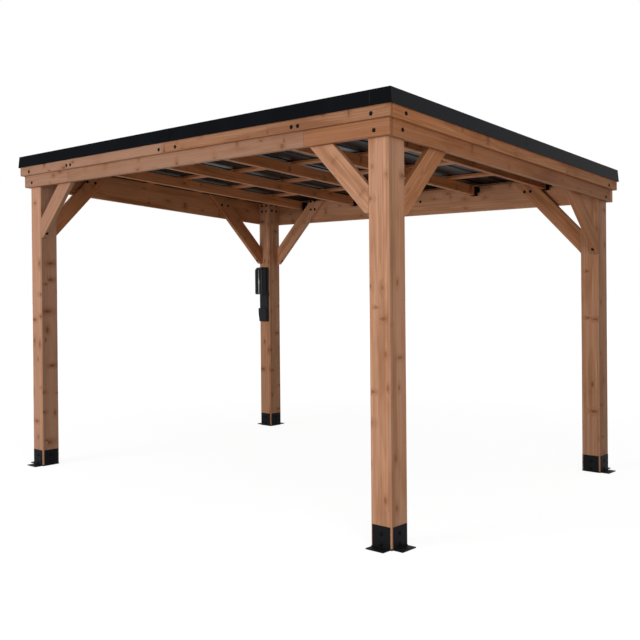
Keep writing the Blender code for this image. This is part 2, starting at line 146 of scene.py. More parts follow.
def rise_to_z(y, rise):
    """World height of a point that lies above the sloping plane of the beams' undersides, at y."""
    return FRONT_BEAM[0].z - ROOF_FALL * (y - FRONT_BEAM[1].y) + rise


# ---------------------------------------------------------------- settings


def hex_property(name, description, default):
    """A colour setting, as an sRGB hex value."""
    return bpy.props.StringProperty(
        name=name, description=f"{description}, as an sRGB hex value", default=default)


class WoodSettings(bpy.types.PropertyGroup):
    """Colours and pattern of the stained wood"""
    stain: hex_property("Stain", "Main colour of the stained wood", "#B67F59")
    pale: hex_property("Pale grain", "Colour of the pale early wood", "#C49672")
    dark: hex_property("Dark grain", "Colour of the dark late wood", "#8A5631")
    blush: hex_property("Blush", "Pinkish colour of some lengths", "#BE9079")
    deep: hex_property("Deep stain", "Tint that multiplies a board with a deep stain", "#FFDEB5")
    knot: hex_property("Knots", "Colour of a knot's core", "#5E3620")
    ring_spacing: bpy.props.FloatProperty(
        name="Ring spacing", description="Distance between growth rings as drawn",
        default=0.008, min=0.001, unit="LENGTH")
    knot_spacing: bpy.props.FloatProperty(
        name="Knot spacing", description="Mean distance between knots across the grain",
        default=0.10, min=0.02, unit="LENGTH")


class MetalSettings(bpy.types.PropertyGroup):
    """Colours of the coated metal and of the plastic"""
    steel: hex_property("Shoes and hangers", "Powder coat of the shoes and hangers", "#101114")
    trim: hex_property("Trim", "Coating of the folded edge trim", "#121316")
    roof: hex_property("Roof sheet", "Coating on the upper side of the roof sheets", "#1E1F22")
    roof_back: hex_property(
        "Roof sheet's back", "Coating on the underside of the roof sheets", "#121213")
    plastic: hex_property("Power box", "Moulded plastic of the power box's cover", "#0F1113")


class FastenerSettings(bpy.types.PropertyGroup):
    """Sizes of the bolts"""
    head_width: bpy.props.FloatProperty(
        name="Bolt head width", description="Width of a carriage bolt's domed head",
        default=0.024, min=0.005, unit="LENGTH")
    head_height: bpy.props.FloatProperty(
        name="Bolt head height", description="Height of a carriage bolt's domed head",
        default=0.0038, min=0.001, unit="LENGTH")


class StudioSettings(bpy.types.PropertyGroup):
    """Strengths of the studio's light"""
    sky: bpy.props.FloatProperty(
        name="Sky", description="Strength of the soft light from all round", default=0.33, min=0.0)
    key: bpy.props.FloatProperty(
        name="Key lamp", description="Power of the large front lamp", default=430.0, min=0.0,
        unit="POWER")
    fill: bpy.props.FloatProperty(
        name="Fill lamp", description="Power of the large side lamp", default=132.0, min=0.0,
        unit="POWER")


# ---------------------------------------------------------------- materials

# A pair of limits is where a soft step starts and ends. A stretch is how many features of a pattern
# fit in a metre along and across the grain.
SOFT = {"interpolation_type": "SMOOTHSTEP"}
BROAD_FACE = (0.6, 0.8)

# Knots. They are twice as long along the grain as across it, and some are smeared the other way.
# Noise 11 mm wide makes their outline uneven. Core and halo are in metres, for a knot of size 1.
KNOT_LENGTH = 2.0
KNOT_PRESENT = (0.30, 0.34)
KNOT_SIZES = (0.5, 1.4)
KNOT_SMEARED = (0.50, 0.55)
KNOT_SMEAR = (1.6, 0.35, 1.0)
KNOT_OUTLINE_STRETCH = (25.0, 90.0)
KNOT_UNEVENNESS = (-0.007, 0.007)
KNOT_CORE = (0.012, 0.003)
KNOT_HALO = (0.034, 0.006)

# Growth rings: how far the pith runs out along the board, how noise 170 mm wide bends them, how far
# a knot pushes them aside, and where the dark late wood lies in a ring. Rings of 2 to 4 mm are too
# fine to show, so they are drawn as far apart as the wood's settings say.
PITH_RUN_OUT = (0.008, 1.0, 1.0)
RING_BEND_STRETCH = (0.8, 6.0)
RING_BEND = 0.045
RING_PUSH = 0.008
LATE_WOOD_RISE = (0.2, 0.85)
LATE_WOOD_FALL = (1.0, 0.88)

# Stripes of stain 14 mm wide, streaks of 3 mm, and patches of 90 mm where it took more or less
STRIPE_STRETCH = (0.6, 70.0)
STRIPE = (0.32, 0.72)
STREAK_STRETCH = (4.0, 330.0)
STREAK = (0.46, 0.72)
PATCH_STRETCH = (1.8, 11.0)
DARK_PATCH = (0.50, 0.28)
BLUSH_PATCH = (0.42, 0.66)
BLUSH_PATCH_SHARE = 0.5

# Distance from a long arris where the wood is paler, partly thin stain and partly a painted
# highlight for the light that the eased edges catch, and how squarely a face looks along the grain
ARRIS = (0.006, 0.001)
END_GRAIN = (0.85, 0.95)

# Strips glued up into a post. Each starts at a share of the post's width, and is a little lighter
# or darker than the ramp's middle, which leaves the post's own tone. A glue line shows within a
# share of the width.
WIDE_FACE_STRIPS = ((0.0, -0.05), (0.13, 0.05), (0.27, 0.0), (0.85, 0.03))
SIDE_FACE_STRIPS = ((0.0, 0.0), (0.50, 0.02), (0.60, -0.04), (0.82, -0.08))
STRIP_TONE_STRENGTH = 2.2
GLUE_LINE = (0.014, 0.004)
RAMP_MIDDLE = 0.5


def linear(hex_colour):
    """An sRGB hex value as the linear colour that Blender's shaders take."""
    channels = [int(hex_colour[i:i + 2], 16) / 255 for i in (1, 3, 5)]
    return tuple(c / 12.92 if c <= 0.04045 else ((c + 0.055) / 1.055) ** 2.4
                 for c in channels) + (1.0,)


def add_node(tree, kind, inputs=(), output=0, **settings):
    """Adds a shader node and returns one of its outputs.

    inputs holds values or other nodes' outputs, in order or by their places or names. settings are
    the node's own.
    """
    node = tree.nodes.new("ShaderNode" + kind)
    for name, value in settings.items():
        setattr(node, name, value)
    for key, value in inputs.items() if isinstance(inputs, dict) else enumerate(inputs):
        if isinstance(value, bpy.types.NodeSocket):
            tree.links.new(value, node.inputs[key])
        else:
            node.inputs[key].default_value = value
    return node.outputs[output]


def new_material(name, **values):
    """A material with only a Principled shader, whose sockets are set from values."""
    material = bpy.data.materials.new(name)
    material.use_nodes = True
    shader = material.node_tree.nodes["Principled BSDF"]
    for key, value in values.items():
        socket = key.replace("_", " ").title().replace("Ior", "IOR")
        shader.inputs[socket].default_value = value
    return material, material.node_tree, shader


def facing(tree, normal, axis):
    """How squarely a face looks along an axis, either way, from 0 to 1."""
    along = add_node(tree, "VectorMath", (normal, axis), "Value", operation="DOT_PRODUCT")
    return add_node(tree, "Math", (along,), operation="ABSOLUTE")


def grain_noise(tree, place, stretch, detail=2.0):
    """Soft noise from 0 to 1, stretched along the grain."""
    along, across = stretch
    scaled = add_node(tree, "VectorMath", (place, (along, across, across)), operation="MULTIPLY")
    return add_node(tree, "TexNoise", {"Vector": scaled, "Scale": 1.0, "Detail": detail})


def lay_colours(tree, grain, layers):
    """Lays colours over the grain, in order.

    layers lists (pattern, how much of the colour shows at most, hex colour).
    """
    for pattern, share, hex_colour in layers:
        amount = add_node(tree, "Math", (pattern, share), operation="MULTIPLY")
        grain = add_node(tree, "Mix", {0: amount, 6: grain, 7: linear(hex_colour)}, 2,
                         data_type="RGBA")
    return grain


def knots(tree, place, broad, spacing):
    """Cores and halos of knots, about spacing apart across the grain."""
    add = partial(add_node, tree)
    own = add("SeparateXYZ", (place,)).node.outputs
    is_broad = add("MapRange", (broad, *BROAD_FACE), **SOFT)
    across = add("Mix", {0: is_broad, 2: own[2], 3: own[1]})
    along = add("Math", (own[0], 1 / KNOT_LENGTH), operation="MULTIPLY")
    flat = add("CombineXYZ", (along, across))
    cells = add("TexVoronoi", {"Vector": flat, "Scale": 1 / spacing},
                voronoi_dimensions="2D").node.outputs
    chance = add("SeparateColor", (cells["Color"],)).node.outputs
    present = add("MapRange", (chance[0], *KNOT_PRESENT), **SOFT)
    size = add("MapRange", (chance[1], 0.0, 1.0, *KNOT_SIZES))
    apart = add("VectorMath", (flat, cells["Position"]), operation="SUBTRACT")
    is_smeared = add("MapRange", (chance[2], *KNOT_SMEARED), **SOFT)
    shape = add("Mix", {0: is_smeared, 4: (1.0, 1.0, 1.0), 5: KNOT_SMEAR}, 1, data_type="VECTOR")
    shaped = add("VectorMath", (apart, shape), operation="MULTIPLY")
    length = add("VectorMath", (shaped,), "Value", operation="LENGTH")
    outline = grain_noise(tree, place, KNOT_OUTLINE_STRETCH)
    uneven = add("MapRange", (outline, 0.0, 1.0, *KNOT_UNEVENNESS))
    reach = add("Math", (length, size), operation="DIVIDE")
    reach = add("Math", (reach, uneven), operation="ADD")
    return [add("Math", (present, add("MapRange", (reach, *limits), **SOFT)), operation="MULTIPLY")
            for limits in (KNOT_CORE, KNOT_HALO)]


def stained_cedar(name, laminated):
    """Planed softwood with a brown oil stain.

    The stain sinks deeper into the early wood, so grain shows as soft stripes, knots are dark with
    a halo along the grain, and the sheen is low. Edges are paler, partly as thin stain on the
    arrises and partly as a painted highlight for the light they catch.
    Each board carries its own half size, pith place, pattern offset and axes, and its tone, blush,
    depth of stain and strength of knots, as mesh attributes.
    """
    wood = bpy.context.scene.gazebo_wood
    material, tree, shader = new_material(name, roughness=0.65, ior=1.5, specular_ior_level=0.25)
    add = partial(add_node, tree)
    place, half, offset, pith, grain_axis, broad_axis = [
        add("Attribute", output="Vector", attribute_name=key)
        for key in ("place", "half_size", "offset", "pith", "grain_axis", "broad_axis")]
    tone, blush, depth, knotty = [add("Attribute", output="Fac", attribute_name=key)
                                  for key in ("tone", "blush", "depth", "knotty")]
    normal = add("TexCoord", output="Normal")
    broad = facing(tree, normal, broad_axis)
    own = add("VectorMath", (place, offset), operation="ADD")
    core, halo = [add("Math", (part, knotty), operation="MULTIPLY")
                  for part in knots(tree, own, broad, wood.knot_spacing)]

    # Growth rings round the pith
    from_pith = add("VectorMath", (place, pith), operation="SUBTRACT")
    from_pith = add("VectorMath", (from_pith, PITH_RUN_OUT), operation="MULTIPLY")
    radius = add("VectorMath", (from_pith,), "Value", operation="LENGTH")
    bend = grain_noise(tree, own, RING_BEND_STRETCH)
    radius = add("Math", (bend, RING_BEND, radius), operation="MULTIPLY_ADD")
    radius = add("Math", (halo, RING_PUSH, radius), operation="MULTIPLY_ADD")
    ring = add("Math", (radius, wood.ring_spacing), operation="DIVIDE")
    ring = add("Math", (ring,), operation="FRACT")
    late_wood = add("Math", [add("MapRange", (ring, *limits), **SOFT)
                             for limits in (LATE_WOOD_RISE, LATE_WOOD_FALL)], operation="MULTIPLY")

    # Stripes, patches and streaks of stain
    stripes = add("MapRange", (grain_noise(tree, own, STRIPE_STRETCH, 3.0), *STRIPE), **SOFT)
    grain = add("Mix", {0: stripes, 6: linear(wood.stain), 7: linear(wood.pale)}, 2,
                data_type="RGBA")
    patches = grain_noise(tree, own, PATCH_STRETCH, 4.0)
    dark_patches = add("MapRange", (patches, *DARK_PATCH), **SOFT)
    blushing = add("MapRange", (patches, *BLUSH_PATCH, 0.0, BLUSH_PATCH_SHARE), **SOFT)
    blushing = add("Math", (blushing, blush), operation="ADD", use_clamp=True)
    streaks = grain_noise(tree, own, STREAK_STRETCH)
    dark_streaks = add("MapRange", (streaks, *STREAK), **SOFT)
    grain = lay_colours(tree, grain, (
        (late_wood, 0.38, wood.dark), (dark_patches, 0.75, wood.dark),
        (blushing, 0.6, wood.blush), (dark_streaks, 0.32, wood.dark)))
    if laminated:
        grain, glue_line = glued_strips(tree, place, broad, grain)

    # Tone of the whole board, as a share added to its brightness, and depth of its stain
    brightness = add("Math", (1.0, tone), operation="ADD")
    grain = add("HueSaturation", {"Value": brightness, "Color": grain})
    deep = add("Mix", {0: 1.0, 6: grain, 7: linear(wood.deep)}, 2, data_type="RGBA",
               blend_type="MULTIPLY")
    grain = add("Mix", {0: depth, 6: grain, 7: deep}, 2, data_type="RGBA")

    # Knots, pale long arrises (thin stain and a painted highlight) and dark stain on the open end
    # grain
    from_middle = add("VectorMath", (place,), operation="ABSOLUTE")
    margin = add("VectorMath", (half, from_middle), operation="SUBTRACT")
    margins = add("SeparateXYZ", (margin,)).node.outputs
    from_arris = add("Math", (margins[1], margins[2]), operation="MAXIMUM")
    pale_arris_stain_and_highlight = add("MapRange", (from_arris, *ARRIS), **SOFT)
    end_grain = add("MapRange", (facing(tree, normal, grain_axis), *END_GRAIN), **SOFT)
    layers = [(halo, 0.60, wood.dark), (core, 0.85, wood.knot), (pale_arris_stain_and_highlight, 0.45, wood.pale),
              (end_grain, 0.5, wood.dark)]
    if laminated:
        layers.append((glue_line, 0.40, wood.dark))
    grain = lay_colours(tree, grain, layers)

    relief = add("Math", (late_wood, 0.5, streaks), operation="MULTIPLY_ADD")
    relief = add("Math", (relief, core), operation="SUBTRACT")
    bump = add("Bump", {"Height": relief, "Strength": 0.25, "Distance": 0.0006})
    tree.links.new(grain, shader.inputs["Base Color"])
    tree.links.new(bump, shader.inputs["Normal"])
    return material


def glued_strips(tree, place, broad, grain):
    """Gives a post's strips their own brightness, and returns the colour and the lines between."""
    add = partial(add_node, tree)
    across = add("SeparateXYZ", (place,)).node.outputs
    tones, lines = [], []
    for axis, strips in ((1, WIDE_FACE_STRIPS), (2, SIDE_FACE_STRIPS)):
        share = add("Math", (across[axis], 1 / POST_WIDTH, 0.5), operation="MULTIPLY_ADD")
        ramp = add("ValToRGB", (share,)).node
        ramp.color_ramp.interpolation = "CONSTANT"
        points = ramp.color_ramp.elements
        while len(points) < len(strips):
            points.new(1.0)
        near_lines = []
        for point, (start, tone) in zip(points, strips):
            point.position = start
            point.color = (RAMP_MIDDLE + tone,) * 3 + (1.0,)
            if start:
                gap = add("Math", (share, start), operation="SUBTRACT")
                gap = add("Math", (gap,), operation="ABSOLUTE")
                near_lines.append(add("MapRange", (gap, *GLUE_LINE), **SOFT))
        line = near_lines[0]
        for near in near_lines[1:]:
            line = add("Math", (line, near), operation="MAXIMUM")
        tones.append(add("Math", (ramp.outputs[0], RAMP_MIDDLE), operation="SUBTRACT"))
        lines.append(line)
    is_wide = add("MapRange", (broad, *BROAD_FACE), **SOFT)
    tone, line = [add("Mix", {0: is_wide, 2: side, 3: wide}) for wide, side in (tones, lines)]
    brightness = add("Math", (tone, STRIP_TONE_STRENGTH, 1.0), operation="MULTIPLY_ADD")
    return add("HueSaturation", {"Value": brightness, "Color": grain}), line


def add_relief(tree, shader, width, strength, height):
    """Gives a surface a soft relief of that width and height, in metres."""
    place = add_node(tree, "TexCoord", output="Object")
    noise = add_node(tree, "TexNoise", {"Vector": place, "Scale": 1 / width, "Detail": 1.0})
    bump = add_node(tree, "Bump", {"Height": noise, "Strength": strength, "Distance": height})
    tree.links.new(bump, shader.inputs["Normal"])


def powder_coat(name, hex_colour, roughness, gloss):
    """Polyester powder coat on steel: an even dark film with a dull sheen and some orange peel.

    Real orange peel is about 1 mm wide, too fine to show, and is drawn 3 mm wide. The film's
    thickness varies over about 330 mm.
    """
    material, tree, shader = new_material(name, roughness=roughness, specular_ior_level=gloss)
    add_relief(tree, shader, 0.003, 0.15, 0.0003)
    add = partial(add_node, tree)
    place = add("TexCoord", output="Object")
    thickness = add("TexNoise", {"Vector": place, "Scale": 3.0, "Detail": 3.0})
    thin = add("MapRange", (thickness, 0.35, 0.7), **SOFT)
    coat = linear(hex_colour)
    paler = tuple(1.25 * channel for channel in coat[:3]) + (1.0,)
    colour = add("Mix", {0: thin, 6: coat, 7: paler}, 2, data_type="RGBA")
    tree.links.new(colour, shader.inputs["Base Color"])
    return material


def coated_roof_sheet(name, top_hex, back_hex):
    """Roll-formed steel sheet with a baked dark coating, smooth enough to mirror softly.

    The upper side is charcoal and the underside has a thinner, darker backer coat. The rolls leave
    the sheet slightly wavy, over about 180 mm.
    """
    material, tree, shader = new_material(name, roughness=0.34, metallic=0.05,
                                          specular_ior_level=0.05)
    add_relief(tree, shader, 0.18, 0.1, 0.004)
    add = partial(add_node, tree)
    upward = add("SeparateXYZ", (add("TexCoord", output="Normal"),), 2)
    is_top = add("MapRange", (upward, 0.0, 0.2), **SOFT)
    colour = add("Mix", {0: is_top, 6: linear(back_hex), 7: linear(top_hex)}, 2, data_type="RGBA")
    tree.links.new(colour, shader.inputs["Base Color"])
    return material


def moulded_plastic(name, hex_colour, roughness, gloss):
    """Injection-moulded polycarbonate: black, satin, with a spark-eroded texture.

    The real texture is about 0.1 mm wide, too fine to show, and is drawn 1.5 mm wide.
    """
    material, tree, shader = new_material(name, base_color=linear(hex_colour), roughness=roughness,
                                          ior=1.58, specular_ior_level=gloss)
    add_relief(tree, shader, 0.0015, 0.1, 0.0002)
    return material


def satin_steel(name):
    """Drawn stainless steel, brushed along its length: bright, with a soft wide highlight.

    The brush marks are under 1 mm wide and about 25 mm long.
    """
    material, tree, shader = new_material(name, base_color=linear("#B4B3AF"), metallic=1.0)
    add = partial(add_node, tree)
    place = add("TexCoord", output="Object")
    lines = add("VectorMath", (place, (1500.0, 1500.0, 40.0)), operation="MULTIPLY")
    brushed = add("TexNoise", {"Vector": lines, "Scale": 1.0})
    tree.links.new(add("MapRange", (brushed, -1.9, 2.9), **SOFT), shader.inputs["Roughness"])
    return material


def shared_material(name, make, *values):
    """The material of that name, made once."""
    return bpy.data.materials.get(name) or make(name, *values)


# ---------------------------------------------------------------- boards

# In a copied shape, corners closer than this are joined, and edges flatter than this are left out
WELD_DISTANCE = 1e-5
FLAT_ANGLE = 0.002

# Chances of a board: where its pith lies across it, as a share of its half width, and how far below
# it, where its pattern starts, and how much its tone strays
PITH_ACROSS = 0.7
PITH_BELOW = (0.01, 0.09)
PATTERN_START = 20
TONE_STRAY = 0.05

# How light, how pinkish, how deeply stained and how knotty each post and each length of board
# looks.
# Tone and blush were matched to each face as it looks lit, so they partly hold painted light: the
# darker beams and fascias at the front and right are partly painted shade under the roof's edge,
# and the paler, pinker lengths at the front left are partly painted sheen, where those faces are
# seen at a slant.
POST_LOOKS = {"front_left": (-0.05, 0.9, 0.0, 0.9), "front_right": (0.03, 0.40, 0.0, 0.6),
              "back_left": (0.05, 0.20, 0.1, 0.8), "back_right": (-0.16, 0.10, 0.1, 0.9)}
LENGTH_LOOKS = {
    "front_beam": ((-0.25, 0.7, 0.0, 0.8), (-0.32, 0.6, 0.1, 0.8), (-0.28, 0.0, 0.7, 0.6)),
    "front_fascia": ((-0.28, 1.0, 0.0, 1.0), (-0.32, 0.1, 0.4, 0.8)),
    "back_beam": ((-0.10, 0.0, 0.3, 0.5), (0.20, 0.4, 0.2, 0.5), (0.30, 0.0, 0.3, 0.4)),
    "back_fascia": ((-0.20, 0.3, 0.2, 0.7), (-0.10, 0.0, 0.4, 0.7)),
    "left_beam": ((0.12, 0.0, 0.6, 0.6),),
    "left_fascia": ((0.10, 0.0, 0.5, 0.7),),
    "right_beam": ((-0.28, 0.0, 0.7, 0.6),),
    "right_fascia": ((-0.18, 0.0, 0.7, 0.6),),
}
BRACE_ALONG_X_LOOKS = {
    "front_left": (-0.25, 0.55, 0.0, 0.3), "front_right": (0.02, 0.30, 0.0, 0.3),
    "back_left": (0.25, 0.30, 0.1, 0.3), "back_right": (0.05, 0.10, 0.6, 0.3)}
BRACE_ALONG_Y_LOOKS = {
    "front_left": (-0.06, 0.0, 0.8, 0.3), "front_right": (-0.02, 0.0, 0.6, 0.3),
    "back_left": (-0.08, 0.0, 0.8, 0.3), "back_right": (-0.26, 0.0, 0.6, 0.3)}
RAFTER_LOOK = (0.16, 0.0, 0.8, 0.7)
PURLIN_LOOK = (0.15, 0.0, 0.7, 0.7)

# How much lighter a board, or each of its lengths, is at its right, back or top end than at its
# middle. This is painted light and shade: the right beam and fascia darken towards the back, where
# the light falls off, the back beam's lengths darken towards their right, and the posts darken
# towards the floor.
PAINTED_SHADE_DRIFTS = {"right_beam": -0.14, "right_fascia": -0.13, "back_beam": -0.07,
               "front_left_post": 0.05, "back_left_post": 0.12, "back_right_post": 0.10}


def cut_between(bm, axis, low, high):
    """Keeps the part of a closed solid between two planes across axis, and closes the cuts."""
    normal = Vector((0, 0, 0))
    normal[axis] = 1.0
    for limit, side in ((low, -1), (high, 1)):
        if limit is None:
            continue
        cut = bmesh.ops.bisect_plane(
            bm, geom=bm.verts[:] + bm.edges[:] + bm.faces[:], dist=WELD_DISTANCE / 10,
            plane_co=normal * limit, plane_no=normal * side, clear_outer=True)
        edges = [item for item in cut["geom_cut"] if isinstance(item, bmesh.types.BMEdge)]
        bmesh.ops.contextual_create(bm, geom=edges)


def finished_mesh(bm, name):
    """Turns a bmesh into a mesh of that name."""
    mesh = bpy.data.meshes.new(name)
    bm.to_mesh(mesh)
    bm.free()
    return mesh


def copy_shape(node, name, between=None):
    """A mesh with a CAD node's shape.

    between gives the world axis and the two places that it is cut off at.
    """
    bm = bmesh.new()
    bm.from_mesh(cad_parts[node].data)
    bmesh.ops.remove_doubles(bm, verts=bm.verts, dist=WELD_DISTANCE)
    bmesh.ops.dissolve_limit(bm, angle_limit=FLAT_ANGLE, verts=bm.verts, edges=bm.edges)
    if between:
        cut_between(bm, *between)
    return finished_mesh(bm, name)


def add_piece(name, mesh, material, replaced=()):
    """Adds a piece that rides on the body and stands for the CAD nodes in replaced."""
    piece = bpy.data.objects.new(name, mesh)
    bpy.context.scene.collection.objects.link(piece)
    mesh.materials.clear()
    mesh.materials.append(material)
    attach(piece, "root")
    if replaced:
        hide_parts(*replaced)


def prism_mesh(name, prisms, rounded=False):
    """A mesh of closed prisms. Each is an outline of points and the direction that it runs in."""
    bm = bmesh.new()
    for outline, run in prisms:
        near = [bm.verts.new(point) for point in outline]
        far = [bm.verts.new(Vector(point) + Vector(run)) for point in outline]
        bm.faces.new(reversed(near))
        bm.faces.new(far)
        for a, b, c, d in zip(near, near[1:] + near[:1], far, far[1:] + far[:1]):
            bm.faces.new((a, b, d, c))
    bmesh.ops.recalc_face_normals(bm, faces=bm.faces)
    for face in bm.faces:
        face.smooth = rounded and len(face.verts) == 4
    return finished_mesh(bm, name)


def lay_board(node, name, along, face, material, look, between=None):
    """A length of wood cut from a CAD board, with its grain along its length.

    along is the direction of the grain and face is the outward direction of its broad face. look
    gives its tone, blush, depth of stain and strength of knots. between gives the world axis and
    the two places that it is cut off at, where a board is made of several lengths. The mesh keeps
    places measured from the board's middle, along and across the grain, for the wood's pattern.
    """
    x_axis = Vector(along).normalized()
    z_axis = Vector(face) - Vector(face).project(x_axis)
    z_axis.normalize()
    y_axis = z_axis.cross(x_axis)
    mesh = copy_shape(node, name, between)
    turn = Matrix((x_axis, y_axis, z_axis))
    corners = [turn @ vertex.co for vertex in mesh.vertices]
    low = Vector([min(corner[i] for corner in corners) for i in range(3)])
    high = Vector([max(corner[i] for corner in corners) for i in range(3)])
    middle, half = (low + high) / 2, (high - low) / 2
    chance = random.Random(name)
    pith = Vector((0, chance.uniform(-PITH_ACROSS, PITH_ACROSS) * half.y,
                   -half.z - chance.uniform(*PITH_BELOW)))
    offset = Vector([chance.uniform(-PATTERN_START, PATTERN_START) for _ in range(3)])
    tone, blush, depth, knotty = look
    tone += chance.uniform(-TONE_STRAY, TONE_STRAY)
    # Painted shade along the board's grain, where the light on it falls off
    painted_shade_drift = PAINTED_SHADE_DRIFTS.get(node, 0.0)
    count = len(corners)
    vectors = {"place": [value for corner in corners for value in corner - middle],
               "half_size": list(half) * count, "pith": list(pith) * count,
               "offset": list(offset) * count, "grain_axis": list(x_axis) * count,
               "broad_axis": list(z_axis) * count}
    numbers = {"tone": [tone + painted_shade_drift * (corner.x - middle.x) / half.x for corner in corners],
               "blush": [blush] * count, "depth": [depth] * count, "knotty": [knotty] * count}
    for key, values in vectors.items():
        mesh.attributes.new(key, "FLOAT_VECTOR", "POINT").data.foreach_set("vector", values)
    for key, values in numbers.items():
        mesh.attributes.new(key, "FLOAT", "POINT").data.foreach_set("value", values)
    add_piece(name, mesh, material, (node,))


def cedar():
    """The material of every board but the posts, made once."""
    return shared_material("Oil-stained cedar board", stained_cedar, False)


class GAZEBO_OT_posts(bpy.types.Operator):
    """Glued-up stained posts"""
    bl_idname = "gazebo.posts"
    bl_label = "Posts"

    def execute(self, context):
        material = shared_material("Oil-stained glued cedar post", stained_cedar, True)
        for corner, look in POST_LOOKS.items():
            node = f"{corner}_post"
            lay_board(node, f"{node}_wood", (0, 0, 1), (0, -1, 0), material, look)
        return {"FINISHED"}


class GAZEBO_OT_beams(bpy.types.Operator):
    """Beams and fascia boards, with the joints between their lengths"""
    bl_idname = "gazebo.beams"
    bl_label = "Beams and fascia boards"

    def execute(self, context):
        half_gap = BOARD_GAP / 2
        joints = {"beam": (-BEAM_JOINT_X, BEAM_JOINT_X), "fascia": (FASCIA_JOINT_X,)}
        for name, side in (("front", -1), ("back", 1)):
            for board, places in joints.items():
                node = f"{name}_{board}"
                starts = [None] + [place + half_gap for place in places]
                ends = [place - half_gap for place in places] + [None]
                lengths = zip(starts, ends, LENGTH_LOOKS[node])
                for number, (start, end, look) in enumerate(lengths, 1):
                    lay_board(node, f"{node}_length_{number}", (1, 0, 0), (0, side, 0), cedar(),
                              look, (0, start, end))
        for name, side in (("left", -1), ("right", 1)):
            for board in joints:
                node = f"{name}_{board}"
                lay_board(node, f"{node}_length", (0, 1, -ROOF_FALL), (side, 0, 0), cedar(),
                          LENGTH_LOOKS[node][0])
        return {"FINISHED"}


class GAZEBO_OT_braces(bpy.types.Operator):
    """Knee braces at 45 degrees"""
    bl_idname = "gazebo.braces"
    bl_label = "Knee braces"

    def execute(self, context):
        for corner, (side_x, side_y) in CORNERS.items():
            node = f"{corner}_brace_along_x"
            lay_board(node, f"{node}_wood", (-side_x, 0, 1), (0, side_y, 0), cedar(),
                      BRACE_ALONG_X_LOOKS[corner])
            node = f"{corner}_brace_along_y"
            lay_board(node, f"{node}_wood", (0, -side_y, 1), (side_x, 0, 0), cedar(),
                      BRACE_ALONG_Y_LOOKS[corner])
        return {"FINISHED"}


class GAZEBO_OT_rafters(bpy.types.Operator):
    """Rafters and the flat purlins on them"""
    bl_idname = "gazebo.rafters"
    bl_label = "Rafters and purlins"

    def execute(self, context):
        for node in sorted(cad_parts):
            if node.startswith("rafter_"):
                lay_board(node, f"{node}_wood", (0, 1, -ROOF_FALL), (1, 0, 0), cedar(), RAFTER_LOOK)
            elif node.startswith("purlin_"):
                lay_board(node, f"{node}_wood", (1, 0, 0), (0, -ROOF_FALL, -1), cedar(),
                          PURLIN_LOOK)
        return {"FINISHED"}


# ---------------------------------------------------------------- metal and plastic

# Each trim: the axis that it runs along, its side of the plan and the place of its joint
TRIM_RUNS = {
    "front_trim": (0, -1, FRONT_SEAM_X),
    "back_trim": (0, 1, FRONT_SEAM_X),
    "left_trim": (1, -1, SIDE_SEAM_Y),
    "right_trim": (1, 1, SIDE_SEAM_Y),
}


def dress_node(node, material):
    """Gives a CAD node its material and leaves its shape as it is."""
    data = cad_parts[node]
    if not data.material_slots:
        raise RuntimeError(f"{node} has no material slot")
    for slot in data.material_slots:
        slot.link = "OBJECT"
        slot.material = material


class GAZEBO_OT_steelwork(bpy.types.Operator):
    """Shoes under the posts and hangers at the rafters' ends"""
    bl_idname = "gazebo.steelwork"
    bl_label = "Shoes and hangers"

    def execute(self, context):
        black = shared_material("Black powder-coated steel", powder_coat,
                                context.scene.gazebo_metal.steel, 0.55, 0.06)
        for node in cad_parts:
            if node.endswith("_shoe") or "_hanger_" in node:
                dress_node(node, black)
        return {"FINISHED"}


class GAZEBO_OT_roof(bpy.types.Operator):
    """Ribbed roof sheets"""
    bl_idname = "gazebo.roof"
    bl_label = "Roof sheets"

    def execute(self, context):
        metal = context.scene.gazebo_metal
        material = shared_material("Dark coated ribbed steel sheet", coated_roof_sheet,
                                   metal.roof, metal.roof_back)
        laps = []
        for node in sorted(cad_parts):
            if not node.startswith("roof_panel_"):
                continue
            dress_node(node, material)
            if node != "roof_panel_1":
                low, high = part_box(node)
                top = high.z - ROOF_FALL * (-LAP_END_Y - low.y)
                outline = [(low.x + x, -LAP_END_Y, top + rise) for x, rise in LAP_PROFILE]
                laps.append((outline, (0, 2 * LAP_END_Y, -2 * ROOF_FALL * LAP_END_Y)))
        add_piece("roof_sheet_laps", prism_mesh("roof_sheet_laps", laps), material)
        return {"FINISHED"}


